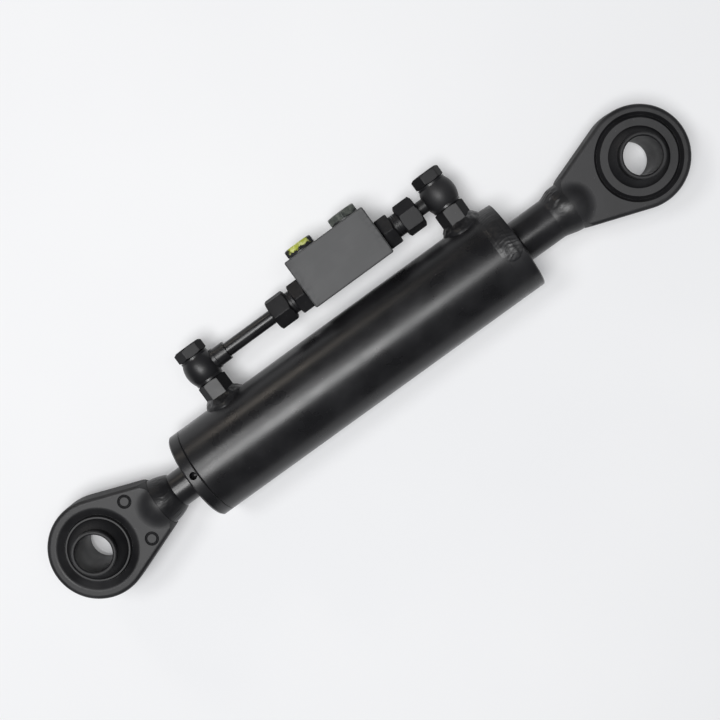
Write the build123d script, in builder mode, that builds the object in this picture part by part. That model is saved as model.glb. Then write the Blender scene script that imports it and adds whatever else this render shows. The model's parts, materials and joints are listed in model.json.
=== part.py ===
from build123d import *
import math
import os

# Hydraulic top link for a tractor, closed, lying with its pin bores upright.
# Origin at the centre of the barrel-end ball, +X towards the rod end, +Z up along the pin bores.
# The check valve and its pipes stand on the -Y side. Millimetres.

# Balls of the two end eyes
ball_diameter = 48.0
ball_width = 51.0
ball_collar_diameter = 31.0
pin_bore = 25.7
bore_chamfer = 0.8
collar_edge = 0.6
socket_clearance = 0.3

# Forged end eyes
eye_diameter = 70.0
eye_thickness = 26.0
eye_edge_radius = 3.0
neck_diameter = 36.0
neck_blend_radius = 12.0
rear_eye_reach = 54.5
rod_eye_reach = 52.5
stake_inner_diameter = 51.6
stake_outer_diameter = 59.6
stake_depth = 3.4
dish_wall = 6.8
dish_slope = 4.9
dish_depth = 4.0
dish_edge_radius = 3.0
dish_lip_slope = 1.0
dish_lip_depth = 1.0
mark_diameter = 9.8
mark_groove = 1.9
mark_depth = 1.1
mark_reach = 34.7
mark_spread = 15.7

# Barrel, end cap and stem
cap_flange = 9.0
cap_spigot = 10.0
cap_edge = 0.8
weld_prep = 3.0
weld_crown = 0.8
stem_diameter = 30.0
stem_length = 43.0
stem_seat = 3.0
stem_weld_leg = 2.5
eye_weld_length = 15.0
eye_weld_shoulder = 1.0

# Gland
gland_flange = 8.5
gland_body = 33.0
gland_nose = 20.0
gland_nose_gap = 4.5
gland_thread_diameter = 58.0
gland_thread_wall = 3.5
gland_thread_step = 1.5
gland_thread_length = 20.0
seam_chamfer = 0.6
gland_edge = 1.2
spanner_hole_diameter = 5.2
spanner_hole_depth = 5.0
spanner_hole_inset = 3.4
spanner_hole_angle = 6.0
spanner_hole_count = 2
o_ring_section = 3.5
o_ring_inset = 5.0
rod_seal_width = 7.0
rod_seal_wall = 5.0
rod_seal_inset = 3.0
guide_width = 10.0
guide_wall = 2.5
guide_inset = 4.0
wiper_width = 5.0
wiper_wall = 4.0
wiper_lip = 0.8

# Rod and piston
stroke = 150.0
rod_diameter = 25.0
rod_standout = 30.0
rod_weld_length = 13.5
rod_weld_rise = 1.8
rod_weld_shoulder = 0.5
piston_length = 28.0
piston_gap = 0.3
piston_shank_diameter = 18.0
piston_nut_flats = 27.0
piston_nut_height = 8.0
rod_tip = 1.0
rod_tip_gap = 2.0
nose_gap = 0.5
piston_land = 4.0
piston_seal_width = 6.0
piston_seal_wall = 5.0
piston_ring_width = 9.0
piston_ring_wall = 2.5

# Ports, banjos and tube
port_hole_diameter = 8.0
rear_port_inset = 4.1
front_port_inset = 14.0
boss_flats = 19.0
boss_height = 15.5
boss_weld_leg = 4.0
boss_weld_rise = 6.0
washer_diameter = 20.6
washer_thickness = 1.6
banjo_diameter = 24.8
banjo_flat_diameter = 20.6
banjo_thickness = 16.4
bolt_diameter = 13.0
bolt_flats = 19.0
bolt_head = 8.2
bolt_grip = 9.0
bolt_oilway_diameter = 6.0
bolt_cross_hole_diameter = 5.0
front_bolt_turn = 13.0
rear_bolt_turn = 7.5
tube_diameter = 10.0
tube_wall = 1.5
socket_diameter = 13.5
socket_reach = 21.3
socket_depth = 8.0
socket_collar_diameter = 14.8
socket_collar_reach = 12.6

# Nuts and adapters
nut_flats = 20.8
nut_length = 14.4
tube_nut_turn = 20.0
swivel_nut_turn = 10.0
front_thread_gap = 4.0
rear_thread_gap = 5.6
adapter_flats = 22.0
adapter_hex = 9.7
adapter_nose_diameter = 16.0
adapter_nose = 12.0
adapter_bore = 7.0
adapter_stop = 2.0
cone_mouth_diameter = 12.6
cone_length = 5.0
ring_diameter = 13.6
ring_overhang = 3.0

# Valve block and hose ports
block_from_rear_port = 46.9
block_length = 63.8
block_below = 12.8
block_above = 24.0
block_depth = 35.0
block_edge = 0.8
hose_port_diameter = 16.8
hose_port_depth = 12.0
hose_port_spacing = 36.0
hose_drill_diameter = 2.0
plug_flange_diameter = 21.0
plug_flange = 1.2
plug_flats = 20.6
plug_head = 5.0
plug_shank = 9.0
plug_recess_diameter = 11.0
plug_recess_depth = 12.0

# Check valve inside the block
valve_bore = 14.0
pilot_travel = 2.5
pilot_pin_diameter = 3.6
seat_length = 7.0
seat_hole_diameter = 7.0
seat_land = 1.5
seat_bore = 9.0
seat_groove_inset = 4.1
seat_groove_depth = 1.0
seat_groove_width = 3.0
seat_cross_hole_diameter = 2.0
seat_cross_hole_count = 4
poppet_tip_diameter = 4.4
poppet_diameter = 11.0
poppet_rim = 1.2
poppet_stem_diameter = 4.4
poppet_stem = 4.2
spring_wire = 0.8
spring_mean_diameter = 8.2
spring_turns = 2.5
spring_space = 6.1

# Clearances
running_clearance = 0.05
assembly_clearance = 0.1
touch_gap = 0.05

# Stations along the link, from the barrel-end ball
cap_back = rear_eye_reach + stem_length
cap_front = cap_back + cap_flange
cap_inner = cap_front + cap_spigot
rod_back = cap_inner + rod_tip_gap
piston_back = rod_back + rod_tip + piston_nut_height
piston_front = piston_back + piston_length
nose_back = piston_front + stroke + nose_gap
body_back = nose_back + gland_nose
tube_front = body_back + gland_body
gland_face = tube_front + gland_flange
rod_front = gland_face + rod_standout
closed_length = rod_front + rod_eye_reach
rear_port_x = cap_inner + rear_port_inset
front_port_x = nose_back + front_port_inset

# Radii and heights that several pieces share
gland_thread_r = gland_thread_diameter / 2
barrel_r = gland_thread_r + gland_thread_wall
bore_r = gland_thread_r - gland_thread_step
gland_nose_r = bore_r - gland_nose_gap
rod_r = rod_diameter / 2
stem_r = stem_diameter / 2
neck_r = neck_diameter / 2
boss_top = barrel_r + boss_height
banjo_base = boss_top + washer_thickness
banjo_top = banjo_base + banjo_thickness
bolt_seat = banjo_top + washer_thickness
pipe_offset = banjo_base + banjo_thickness / 2
block_back = rear_port_x + block_from_rear_port
block_centre = block_back + block_length / 2
block_half = block_length / 2
hex_end = block_half + adapter_hex
nose_end = hex_end + adapter_nose
pipe_axis = Axis((0, -pipe_offset, 0), (1, 0, 0))

# Check valve stations, outwards from the middle of the block
seat_hole_r = seat_hole_diameter / 2
contact_r = seat_hole_r - assembly_clearance
poppet_tip_r = poppet_tip_diameter / 2
poppet_r = poppet_diameter / 2
hose_port_offset = hose_port_spacing / 2
groove_middle = hose_port_offset - hose_port_diameter / 2 + hose_drill_diameter
seat_start = groove_middle - seat_groove_inset
seat_end = seat_start + seat_length
pilot_half_length = seat_start - pilot_travel
poppet_nose = seat_end - (contact_r - poppet_tip_r)
poppet_shoulder = seat_end + (poppet_r - contact_r)
poppet_back = poppet_shoulder + poppet_rim
spring_end = poppet_back + spring_space
stud_length = block_half - spring_end

os.makedirs("parts", exist_ok=True)


def outline(plane, points):
    """Closed straight-sided profile on a plane."""
    with BuildSketch(plane) as profile:
        with BuildLine():
            Polyline(*points, close=True)
        make_face()
    return profile.sketch.faces()


def hex_envelope(plane, flats, start, end):
    """Profile that chamfers the corners of a hexagon lying between two stations."""
    corner = flats / math.sqrt(3)
    face = 0.95 * flats / 2
    drop = (corner - face) * math.tan(math.radians(30))
    return outline(
        plane,
        [(start, 0), (start, face), (start + drop, corner), (end - drop, corner), (end, face), (end, 0)],
    )


def radial_plane(port_x):
    """Plane across a port: local x along the link, local y outwards from the link's axis."""
    return Plane(origin=(port_x, 0, 0), x_dir=(1, 0, 0), z_dir=(0, 0, -1))


def upright_plane(port_x):
    """The same plane turned: local x outwards from the link's axis, local y along the link."""
    return Plane(origin=(port_x, 0, 0), x_dir=(0, -1, 0), z_dir=(0, 0, 1))


def port_axis(port_x):
    """Axis of a port, pointing outwards."""
    return Axis((port_x, 0, 0), (0, -1, 0))


def port_section(port_x, height):
    """Plane square to a port's axis at a distance from the link's axis."""
    return Plane(origin=(port_x, -height, 0), x_dir=(1, 0, 0), z_dir=(0, -1, 0))


def valve_plane(toward):
    """Plane through the pipe axis: local x outwards from the middle of the block."""
    return Plane(origin=(block_centre, -pipe_offset, 0), x_dir=(toward, 0, 0), z_dir=(0, 0, 1))


def pipe_section(toward, station):
    """Plane square to the pipe axis at a distance from the middle of the block."""
    return Plane(
        origin=(block_centre + toward * station, -pipe_offset, 0), x_dir=(0, 1, 0), z_dir=(toward, 0, 0)
    )


# Balls: a truncated sphere with a collar each side and the pin bore through it
ball_r = ball_diameter / 2
collar_r = ball_collar_diameter / 2
pin_r = pin_bore / 2
ball_half = ball_width / 2
collar_root = math.sqrt(ball_r**2 - collar_r**2)
for ball_name, ball_x in (("rear_ball", 0.0), ("rod_ball", closed_length)):
    with BuildPart() as ball:
        with BuildSketch(Plane(origin=(ball_x, 0, 0), x_dir=(1, 0, 0), z_dir=(0, -1, 0))):
            with BuildLine():
                ThreePointArc((collar_r, -collar_root), (ball_r, 0), (collar_r, collar_root))
                Polyline(
                    (collar_r, collar_root),
                    (collar_r, ball_half - collar_edge),
                    (collar_r - collar_edge, ball_half),
                    (pin_r + bore_chamfer, ball_half),
                    (pin_r, ball_half - bore_chamfer),
                    (pin_r, bore_chamfer - ball_half),
                    (pin_r + bore_chamfer, -ball_half),
                    (collar_r - collar_edge, -ball_half),
                    (collar_r, collar_edge - ball_half),
                    (collar_r, -collar_root),
                )
            make_face()
        revolve(axis=Axis((ball_x, 0, 0), (0, 0, 1)))
    ball.part.label = ball_name
    export_step(ball.part, f"parts/{ball_name}.step")


def staked_face(eye_half):
    """Half sections of the ring groove pressed round the ball, one for each face of the eye."""
    inner = stake_inner_diameter / 2
    outer = stake_outer_diameter / 2
    root = ((inner + outer) / 2, eye_half - stake_depth)
    with BuildLine() as groove:
        Polyline((inner, eye_half), root, (outer, eye_half), close=True)
    return groove


def dished_face(eye_half):
    """Half sections of the sloping dish whose lip closes on the ball, one for each face of the eye."""
    floor_r = dish_r - dish_slope
    lip_level = eye_half - dish_lip_depth
    with BuildLine() as dish:
        Polyline(
            (dish_r, eye_half),
            (floor_r, eye_half - dish_depth),
            (floor_r - dish_lip_slope, lip_level),
            (0, lip_level),
            (0, eye_half),
            close=True,
        )
    return dish


def neck_blend(eye_half):
    """Half section, about the upright axis of the neck's dome, of its hollow blend into a face."""
    centre = math.sqrt((neck_r + neck_blend_radius) ** 2 - (eye_half + neck_blend_radius) ** 2)
    rise = eye_half + neck_blend_radius
    on_dome = neck_r / (neck_r + neck_blend_radius)
    start_angle = math.atan2(-rise, -centre)
    halfway = (start_angle - math.pi / 2) / 2
    with BuildLine() as blend:
        ThreePointArc(
            (centre, eye_half),
            (
                centre + neck_blend_radius * math.cos(halfway),
                rise + neck_blend_radius * math.sin(halfway),
            ),
            (on_dome * centre, on_dome * rise),
        )
        Polyline((on_dome * centre, on_dome * rise), (0, on_dome * rise), (0, eye_half), (centre, eye_half))
    return blend


# Forged eyes: a teardrop plate, a round neck with a domed end, and the ball closed in by a pressed lip;
# the rod-end eye also bears two round forging marks
eye_half = eye_thickness / 2
eye_r = eye_diameter / 2
dish_r = eye_r - dish_wall
eye_styles = (
    ("rear_eye", 0.0, 1, rear_eye_reach, staked_face, False),
    ("rod_eye", closed_length, -1, rod_eye_reach, dished_face, True),
)
for eye_name, eye_x, toward, reach, pressed_face, ring_marks in eye_styles:
    eye_frame = Plane(origin=(eye_x, 0, 0), x_dir=(toward, 0, 0), z_dir=(0, 0, 1))
    eye_upright = Plane(origin=(eye_x, 0, 0), x_dir=(1, 0, 0), z_dir=(0, -1, 0))
    neck_axis = Axis((eye_x, 0, 0), (toward, 0, 0))
    neck_x = eye_x + toward * reach
    trim_r = eye_diameter
    with BuildPart() as eye:
        with BuildSketch(eye_frame.offset(-eye_half)):
            Circle(eye_r)
            with Locations((reach - neck_r / 2, 0)):
                Rectangle(neck_r, neck_diameter)
            make_hull()
        extrude(amount=eye_thickness)
        rim = eye.faces().filter_by(Axis.Z).edges().filter_by(Axis.Y, reverse=True)
        fillet(rim, eye_edge_radius)
        with BuildSketch(eye_frame):
            with BuildLine():
                RadiusArc((reach - neck_r, 0), (reach, neck_r), neck_r)
                Polyline((reach, neck_r), (reach, 0), (reach - neck_r, 0))
            make_face()
        revolve(axis=neck_axis)
        with BuildSketch(Plane(origin=(neck_x, 0, 0), x_dir=(1, 0, 0), z_dir=(0, -1, 0))):
            add(neck_blend(eye_half).line)
            make_face()
            mirror(about=Plane.XZ)
        revolve(axis=Axis((neck_x, 0, 0), (0, 0, 1)))
        trim = outline(
            eye_frame,
            [
                (-eye_diameter, 0),
                (-eye_diameter, trim_r),
                (reach + neck_r - trim_r, trim_r),
                (reach, neck_r),
                (reach, 0),
            ],
        )
        revolve(trim, axis=neck_axis, mode=Mode.INTERSECT)
        with BuildSketch(eye_upright):
            add(pressed_face(eye_half).line)
            make_face()
            mirror(about=Plane.XZ)
        revolve(axis=Axis((eye_x, 0, 0), (0, 0, 1)), mode=Mode.SUBTRACT)
        circles = eye.edges().filter_by(GeomType.CIRCLE)
        dish_edges = circles.filter_by(lambda edge: abs(edge.radius - dish_r) < 0.01)
        if dish_edges:
            fillet(dish_edges, dish_edge_radius)
        with Locations((eye_x, 0, 0)):
            Sphere(ball_r + socket_clearance, mode=Mode.SUBTRACT)
        if ring_marks:
            mark_r = mark_diameter / 2
            for mark_y in (mark_spread, -mark_spread):
                mark_x = eye_x + toward * mark_reach
                mark_plane = Plane(origin=(mark_x, mark_y, eye_half), x_dir=(1, 0, 0), z_dir=(0, -1, 0))
                mark = [(mark_r, 0), (mark_r - mark_groove / 2, -mark_depth), (mark_r - mark_groove, 0)]
                mark_axis = Axis((mark_x, mark_y, 0), (0, 0, 1))
                revolve(outline(mark_plane, mark), axis=mark_axis, mode=Mode.SUBTRACT)
    eye.part.label = eye_name
    export_step(eye.part, f"parts/{eye_name}.step")

# Weld of the barrel-end eye, from the neck's end down to the stem
weld_end = rear_eye_reach + eye_weld_length
weld_top = neck_r - eye_weld_shoulder
with BuildPart() as rear_eye_weld:
    with BuildSketch():
        with BuildLine():
            ThreePointArc(
                (rear_eye_reach, weld_top),
                (rear_eye_reach + eye_weld_length / 2, weld_top),
                (weld_end, stem_r),
            )
            Polyline((weld_end, stem_r), (rear_eye_reach, stem_r), (rear_eye_reach, weld_top))
        make_face()
    revolve(axis=Axis.X)
rear_eye_weld.part.label = "rear_eye_weld"
export_step(rear_eye_weld.part, "parts/rear_eye_weld.step")

# Stem between the barrel-end eye and the end cap
with BuildPart() as rear_stem:
    with BuildSketch(Plane.YZ.offset(rear_eye_reach)):
        Circle(stem_r)
    extrude(amount=stem_length + stem_seat)
rear_stem.part.label = "rear_stem"
export_step(rear_stem.part, "parts/rear_stem.step")

# Fillet weld of the stem on the end cap
with BuildPart() as stem_weld:
    revolve(
        outline(
            Plane.XY,
            [(cap_back - stem_weld_leg, stem_r), (cap_back, stem_r + stem_weld_leg), (cap_back, stem_r)],
        ),
        axis=Axis.X,
    )
stem_weld.part.label = "stem_weld"
export_step(stem_weld.part, "parts/stem_weld.step")

# End cap, with its spigot in the tube and a seat for the stem
with BuildPart() as end_cap:
    revolve(
        outline(
            Plane.XY,
            [
                (cap_back, stem_r),
                (cap_back, barrel_r - cap_edge),
                (cap_back + cap_edge, barrel_r),
                (cap_front - weld_prep, barrel_r),
                (cap_front, barrel_r - weld_prep),
                (cap_front, bore_r),
                (cap_inner, bore_r),
                (cap_inner, 0),
                (cap_back + stem_seat, 0),
                (cap_back + stem_seat, stem_r),
            ],
        ),
        axis=Axis.X,
    )
end_cap.part.label = "end_cap"
export_step(end_cap.part, "parts/end_cap.step")

# Weld that fills the groove between the end cap and the tube, with a low crown
with BuildPart() as end_cap_weld:
    with BuildSketch():
        with BuildLine():
            ThreePointArc(
                (cap_front - weld_prep, barrel_r),
                (cap_front, barrel_r + weld_crown),
                (cap_front + weld_prep, barrel_r),
            )
            Polyline(
                (cap_front + weld_prep, barrel_r),
                (cap_front, barrel_r - weld_prep),
                (cap_front - weld_prep, barrel_r),
            )
        make_face()
    revolve(axis=Axis.X)
end_cap_weld.part.label = "end_cap_weld"
export_step(end_cap_weld.part, "parts/end_cap_weld.step")

# Barrel tube, threaded at the front for the gland and drilled under each port boss
thread_back = tube_front - gland_thread_length
with BuildPart() as barrel_tube:
    revolve(
        outline(
            Plane.XY,
            [
                (cap_front, bore_r),
                (cap_front, barrel_r - weld_prep),
                (cap_front + weld_prep, barrel_r),
                (tube_front - seam_chamfer, barrel_r),
                (tube_front, barrel_r - seam_chamfer),
                (tube_front, gland_thread_r),
                (thread_back, gland_thread_r),
                (thread_back, bore_r),
            ],
        ),
        axis=Axis.X,
    )
    for port_x in (rear_port_x, front_port_x):
        with Locations(port_section(port_x, barrel_r)):
            Hole(port_hole_diameter / 2, depth=barrel_r)
barrel_tube.part.label = "barrel_tube"
export_step(barrel_tube.part, "parts/barrel_tube.step")

# Gland: flange and thread outside, a nose that clears the front port, and seal grooves round the rod
guide_start = nose_back + guide_inset
rod_seal_start = body_back + rod_seal_inset
wiper_start = gland_face - wiper_width
o_ring_start = body_back + o_ring_inset
o_ring_groove_r = bore_r - o_ring_section
grooves = (
    (guide_start, guide_width, rod_r, rod_r + guide_wall),
    (rod_seal_start, rod_seal_width, rod_r, rod_r + rod_seal_wall),
    (wiper_start, wiper_width, rod_r, rod_r + wiper_wall),
    (o_ring_start, o_ring_section, o_ring_groove_r, bore_r),
)
with BuildPart() as gland:
    revolve(
        outline(
            Plane.XY,
            [
                (nose_back, rod_r + running_clearance),
                (nose_back, gland_nose_r),
                (body_back, gland_nose_r),
                (body_back, bore_r - assembly_clearance),
                (thread_back, bore_r - assembly_clearance),
                (thread_back, gland_thread_r - assembly_clearance),
                (tube_front, gland_thread_r - assembly_clearance),
                (tube_front, barrel_r - seam_chamfer),
                (tube_front + seam_chamfer, barrel_r),
                (gland_face - gland_edge, barrel_r),
                (gland_face, barrel_r - gland_edge),
                (gland_face, rod_r + running_clearance),
            ],
        ),
        axis=Axis.X,
    )
    for start, width, inner, outer in grooves:
        ring_space = outline(
            Plane.XY, [(start, inner), (start, outer), (start + width, outer), (start + width, inner)]
        )
        revolve(ring_space, axis=Axis.X, mode=Mode.SUBTRACT)
    rim_axis = Plane(origin=(tube_front + spanner_hole_inset, 0, 0), x_dir=(0, 0, 1), z_dir=(1, 0, 0))
    with Locations(rim_axis):
        with PolarLocations(barrel_r, spanner_hole_count, start_angle=spanner_hole_angle):
            with Locations(Location((0, 0, 0), (0, 90, 0))):
                Hole(spanner_hole_diameter / 2, depth=spanner_hole_depth)
        hole_floor_r = barrel_r - spanner_hole_depth
        with PolarLocations(hole_floor_r, spanner_hole_count, start_angle=spanner_hole_angle):
            Sphere(spanner_hole_diameter / 2, mode=Mode.SUBTRACT)
gland.part.label = "gland"
export_step(gland.part, "parts/gland.step")

# O-ring between the gland and the tube
with BuildPart() as gland_o_ring:
    with BuildSketch():
        with Locations((o_ring_start + o_ring_section / 2, o_ring_groove_r + o_ring_section / 2)):
            Circle(o_ring_section / 2)
    revolve(axis=Axis.X)
gland_o_ring.part.label = "gland_o_ring"
export_step(gland_o_ring.part, "parts/gland_o_ring.step")

# Guide ring, lip seal and wiper, all running on the rod
rod_run = rod_r + running_clearance
with BuildPart() as rod_guide_ring:
    guide_end = guide_start + guide_width
    guide_outer = rod_r + guide_wall
    revolve(
        outline(
            Plane.XY,
            [
                (guide_start, rod_run),
                (guide_start, guide_outer),
                (guide_end, guide_outer),
                (guide_end, rod_run),
            ],
        ),
        axis=Axis.X,
    )
rod_guide_ring.part.label = "rod_guide_ring"
export_step(rod_guide_ring.part, "parts/rod_guide_ring.step")

with BuildPart() as rod_seal:
    seal_end = rod_seal_start + rod_seal_width
    seal_outer = rod_r + rod_seal_wall
    seal_notch = rod_seal_start + rod_seal_width / 2
    seal_mid = (rod_run + seal_outer) / 2
    revolve(
        outline(
            Plane.XY,
            [
                (rod_seal_start, rod_run),
                (rod_seal_start, rod_run + rod_seal_wall / 4),
                (seal_notch, seal_mid),
                (rod_seal_start, seal_outer - rod_seal_wall / 4),
                (rod_seal_start, seal_outer),
                (seal_end, seal_outer),
                (seal_end, rod_run),
            ],
        ),
        axis=Axis.X,
    )
rod_seal.part.label = "rod_seal"
export_step(rod_seal.part, "parts/rod_seal.step")

with BuildPart() as rod_wiper:
    wiper_outer = rod_r + wiper_wall
    revolve(
        outline(
            Plane.XY,
            [
                (wiper_start, rod_run),
                (wiper_start, wiper_outer),
                (gland_face, wiper_outer),
                (gland_face, rod_run + wiper_wall / 2),
                (gland_face + wiper_lip, rod_run + wiper_lip),
                (gland_face + wiper_lip, rod_run),
            ],
        ),
        axis=Axis.X,
    )
rod_wiper.part.label = "rod_wiper"
export_step(rod_wiper.part, "parts/rod_wiper.step")

# Piston rod, stepped down to a shank that carries the piston and its nut
shank_r = piston_shank_diameter / 2
with BuildPart() as piston_rod:
    revolve(
        outline(
            Plane.XY,
            [
                (rod_back, 0),
                (rod_back, shank_r - rod_tip),
                (rod_back + rod_tip, shank_r),
                (piston_front, shank_r),
                (piston_front, rod_r),
                (rod_front, rod_r),
                (rod_front, 0),
            ],
        ),
        axis=Axis.X,
    )
piston_rod.part.label = "piston_rod"
export_step(piston_rod.part, "parts/piston_rod.step")

# Piston with a groove for its seal and one for its guide ring
piston_r = bore_r - piston_gap
piston_seal_start = piston_back + piston_land
piston_ring_start = piston_front - piston_land - piston_ring_width
seal_groove_r = bore_r - piston_seal_wall
ring_groove_r = bore_r - piston_ring_wall
with BuildPart() as piston:
    revolve(
        outline(
            Plane.XY,
            [
                (piston_back, shank_r),
                (piston_back, piston_r),
                (piston_seal_start, piston_r),
                (piston_seal_start, seal_groove_r),
                (piston_seal_start + piston_seal_width, seal_groove_r),
                (piston_seal_start + piston_seal_width, piston_r),
                (piston_ring_start, piston_r),
                (piston_ring_start, ring_groove_r),
                (piston_ring_start + piston_ring_width, ring_groove_r),
                (piston_ring_start + piston_ring_width, piston_r),
                (piston_front, piston_r),
                (piston_front, shank_r),
            ],
        ),
        axis=Axis.X,
    )
piston.part.label = "piston"
export_step(piston.part, "parts/piston.step")

# Seal and guide ring that slide in the bore while the piston turns inside them
packing_rings = (
    ("piston_seal", piston_seal_start, piston_seal_width, seal_groove_r),
    ("piston_guide_ring", piston_ring_start, piston_ring_width, ring_groove_r),
)
for ring_name, start, width, groove_r in packing_rings:
    ring_start = start + running_clearance
    ring_end = start + width - running_clearance
    ring_inner = groove_r + running_clearance
    ring_outer = bore_r - running_clearance
    with BuildPart() as packing_ring:
        revolve(
            outline(
                Plane.XY,
                [
                    (ring_start, ring_inner),
                    (ring_start, ring_outer),
                    (ring_end, ring_outer),
                    (ring_end, ring_inner),
                ],
            ),
            axis=Axis.X,
        )
    packing_ring.part.label = ring_name
    export_step(packing_ring.part, f"parts/{ring_name}.step")

# Nut that holds the piston on the rod
with BuildPart() as piston_nut:
    nut_back = piston_back - piston_nut_height
    with BuildSketch(Plane.YZ.offset(nut_back)):
        RegularPolygon(piston_nut_flats / 2, 6, major_radius=False)
    extrude(amount=piston_nut_height)
    revolve(
        hex_envelope(Plane.XY, piston_nut_flats, nut_back, piston_back), axis=Axis.X, mode=Mode.INTERSECT
    )
    with Locations(Plane.YZ.offset(piston_back)):
        Hole(shank_r)
piston_nut.part.label = "piston_nut"
export_step(piston_nut.part, "parts/piston_nut.step")

# Weld of the rod-end eye, a cone from the neck's end down to the rod
rod_weld_start = rod_front - rod_weld_length
with BuildPart() as rod_eye_weld:
    revolve(
        outline(
            Plane.XY,
            [
                (rod_weld_start, rod_r),
                (rod_weld_start + rod_weld_rise / 2, rod_r + rod_weld_rise),
                (rod_front, neck_r - rod_weld_shoulder),
                (rod_front, rod_r),
            ],
        ),
        axis=Axis.X,
    )
rod_eye_weld.part.label = "rod_eye_weld"
export_step(rod_eye_weld.part, "parts/rod_eye_weld.step")

# Ports: hexagon boss, its weld, two washers, hollow bolt and banjo body on each
boss_hole_r = bolt_diameter / 2 + assembly_clearance
banjo_hole_r = bolt_diameter / 2 + 3 * assembly_clearance
banjo_flat_r = banjo_flat_diameter / 2
bolt_tip = boss_top - bolt_grip
boss_corner_r = boss_flats / math.sqrt(3)
weld_slope = boss_weld_leg / boss_weld_rise
weld_crest = barrel_r + boss_weld_rise
weld_depth = barrel_r - boss_flats
weld_foot_r = boss_corner_r + (weld_crest - weld_depth) * weld_slope
ports = (("rear", rear_port_x, rear_bolt_turn), ("front", front_port_x, front_bolt_turn))
for side, port_x, bolt_turn in ports:
    with BuildPart() as boss:
        with BuildSketch(port_section(port_x, 0)):
            RegularPolygon(boss_flats / 2, 6, major_radius=False)
        extrude(amount=boss_top)
        revolve(
            hex_envelope(upright_plane(port_x), boss_flats, -boss_top, boss_top),
            axis=port_axis(port_x),
            mode=Mode.INTERSECT,
        )
        with Locations(port_section(port_x, boss_top)):
            Hole(boss_hole_r, depth=boss_top)
        with BuildSketch(Plane.YZ.offset(port_x)):
            Circle(barrel_r)
        extrude(amount=boss_flats, both=True, mode=Mode.SUBTRACT)
    boss.part.label = f"{side}_port_boss"
    export_step(boss.part, f"parts/{side}_port_boss.step")

    with BuildPart() as boss_weld:
        revolve(
            outline(
                radial_plane(port_x),
                [(0, weld_depth), (weld_foot_r, weld_depth), (boss_corner_r, weld_crest), (0, weld_crest)],
            ),
            axis=port_axis(port_x),
        )
        with BuildSketch(Plane.YZ.offset(port_x)):
            Circle(barrel_r)
        extrude(amount=2 * boss_flats, both=True, mode=Mode.SUBTRACT)
        with BuildSketch(port_section(port_x, 0)):
            RegularPolygon(boss_flats / 2, 6, major_radius=False)
        extrude(amount=boss_top, mode=Mode.SUBTRACT)
        add(end_cap_weld.part, mode=Mode.SUBTRACT)
    boss_weld.part.label = f"{side}_boss_weld"
    export_step(boss_weld.part, f"parts/{side}_boss_weld.step")

    for level, base in (("lower", boss_top), ("upper", banjo_top)):
        with BuildPart() as washer:
            with BuildSketch(port_section(port_x, base)):
                Circle(washer_diameter / 2)
                Circle(banjo_hole_r, mode=Mode.SUBTRACT)
            extrude(amount=washer_thickness)
        washer.part.label = f"{side}_{level}_washer"
        export_step(washer.part, f"parts/{side}_{level}_washer.step")

    with BuildPart() as bolt:
        with BuildSketch(port_section(port_x, bolt_seat)):
            RegularPolygon(bolt_flats / 2, 6, major_radius=False, rotation=bolt_turn)
        extrude(amount=bolt_head)
        revolve(
            hex_envelope(upright_plane(port_x), bolt_flats, bolt_seat, bolt_seat + bolt_head),
            axis=port_axis(port_x),
            mode=Mode.INTERSECT,
        )
        with BuildSketch(port_section(port_x, bolt_tip)):
            Circle(bolt_diameter / 2)
        extrude(amount=bolt_seat - bolt_tip)
        with Locations(port_section(port_x, bolt_tip)):
            Hole(bolt_oilway_diameter / 2, depth=pipe_offset + bolt_cross_hole_diameter / 2 - bolt_tip)
        with Locations(Plane.YZ.offset(port_x)):
            with Locations((-pipe_offset, 0)):
                Hole(bolt_cross_hole_diameter / 2)
    bolt.part.label = f"{side}_banjo_bolt"
    export_step(bolt.part, f"parts/{side}_banjo_bolt.step")

# Banjo bodies: a ball cut flat for the washers, with a tube socket in front and a cone-ended stub behind
tube_r = tube_diameter / 2
tube_bore_r = tube_r - tube_wall
front_station = front_port_x - block_centre
rear_station = block_centre - rear_port_x
socket_end = front_station - socket_reach
socket_floor = socket_end + socket_depth
stub_tip = nose_end - cone_length / 2
swivel_front = hex_end + rear_thread_gap
swivel_end = swivel_front + nut_length
bulb_r = ring_diameter / 2
bulb_start = nose_end + assembly_clearance
bulb_end = bulb_start + ring_overhang
banjo_ball = ((-banjo_flat_r, banjo_base), (-banjo_diameter / 2, pipe_offset), (-banjo_flat_r, banjo_top))
with BuildPart() as front_banjo:
    with BuildSketch(radial_plane(front_port_x)):
        with BuildLine():
            ThreePointArc(*banjo_ball)
            Polyline(banjo_ball[2], (0, banjo_top), (0, banjo_base), banjo_ball[0])
        make_face()
    revolve(axis=port_axis(front_port_x))
    collar_end = front_station - socket_collar_reach
    revolve(
        outline(
            valve_plane(1),
            [
                (socket_end, 0),
                (socket_end, socket_diameter / 2),
                (collar_end, socket_diameter / 2),
                (collar_end, socket_collar_diameter / 2),
                (front_station, socket_collar_diameter / 2),
                (front_station, 0),
            ],
        ),
        axis=pipe_axis,
    )
    with Locations(port_section(front_port_x, banjo_top)):
        Hole(banjo_hole_r)
    with Locations(pipe_section(-1, -socket_end)):
        Hole(tube_r + assembly_clearance, depth=socket_depth)
        Hole(tube_bore_r, depth=socket_reach)
front_banjo.part.label = "front_banjo"
export_step(front_banjo.part, "parts/front_banjo.step")

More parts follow.
